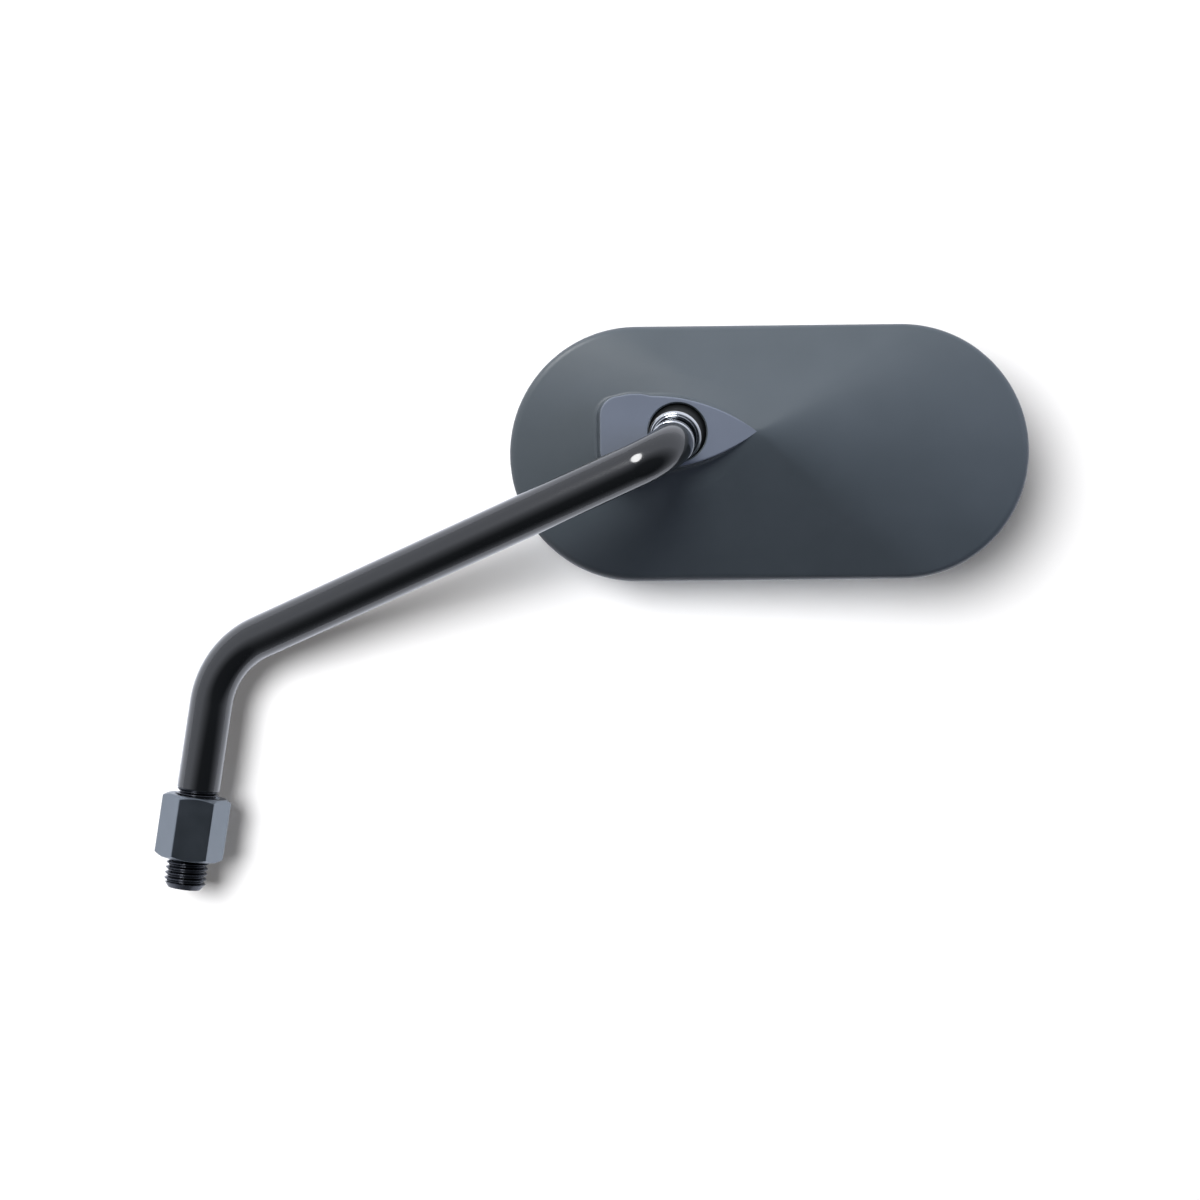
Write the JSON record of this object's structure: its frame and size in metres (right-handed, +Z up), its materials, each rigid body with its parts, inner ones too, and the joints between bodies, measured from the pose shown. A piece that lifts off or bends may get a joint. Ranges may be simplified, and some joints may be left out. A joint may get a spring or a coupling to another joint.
{
  "type": "motorcycle mirror",
  "caption": "Stadium-shaped motorcycle mirror with a shallow peaked back, on a bent round stem with a ball joint, a threaded stud and a lock nut.",
  "frame": {"origin": "on the axis of the threaded stud, in the plane of the lock nut's lower face", "axes": "+Z up the stud, +X along the head, and the glass faces +Y"},
  "size_m": [0.1906, 0.0391, 0.1568],
  "materials": {
    "rod_paint": "gloss black stoved paint",
    "nut_coat": "satin black oxide",
    "stud_chrome": "polished",
    "housing_coat": "satin black powder coat",
    "nylon": "moulded",
    "zinc_steel": "zinc plated",
    "carrier_plastic": "moulded",
    "pad_foam": "closed-cell foam",
    "mirror_glass": "silvered on its back",
    "rim_rubber": "extruded"
  },
  "bodies": {
    "stem": {"stem_rod": "rod_paint", "ball_stud": "stud_chrome"},
    "nut": {"lock_nut": "nut_coat"},
    "cup": {"pressure_cup": "nylon"},
    "ring": {"seat_ring": "nylon"},
    "head": {"housing": "housing_coat", "clamp_plate": "zinc_steel", "clamp_screw_1": "zinc_steel", "clamp_screw_2": "zinc_steel", "clamp_screw_3": "zinc_steel", "spring_washer_1": "zinc_steel", "spring_washer_2": "zinc_steel", "spring_washer_3": "zinc_steel", "carrier": "carrier_plastic", "carrier_screw_1": "zinc_steel", "carrier_screw_2": "zinc_steel", "adhesive_pad": "pad_foam", "mirror_glass": "mirror_glass", "rubber_rim": "rim_rubber"}
  },
  "joints": [
    {"name": "nut_turn", "type": "hinge", "parent": "stem", "child": "nut", "pos_m": [0, 0, 0], "axis": [0, 0, 1], "continuous": true},
    {"name": "head_pan", "type": "hinge", "parent": "stem", "child": "cup", "pos_m": [0.09905, -0.00804, 0.11528], "axis": [0, 0, 1], "range_deg": [-20, 8]},
    {"name": "head_tilt", "type": "hinge", "parent": "cup", "child": "ring", "pos_m": [0.09905, -0.00804, 0.11528], "axis": [1, 0, 0], "range_deg": [-8, 22]},
    {"name": "head_roll", "type": "hinge", "parent": "ring", "child": "head", "pos_m": [0.09905, -0.00804, 0.11528], "axis": [0, 1, 0], "range_deg": [-20, 20]}
  ]
}
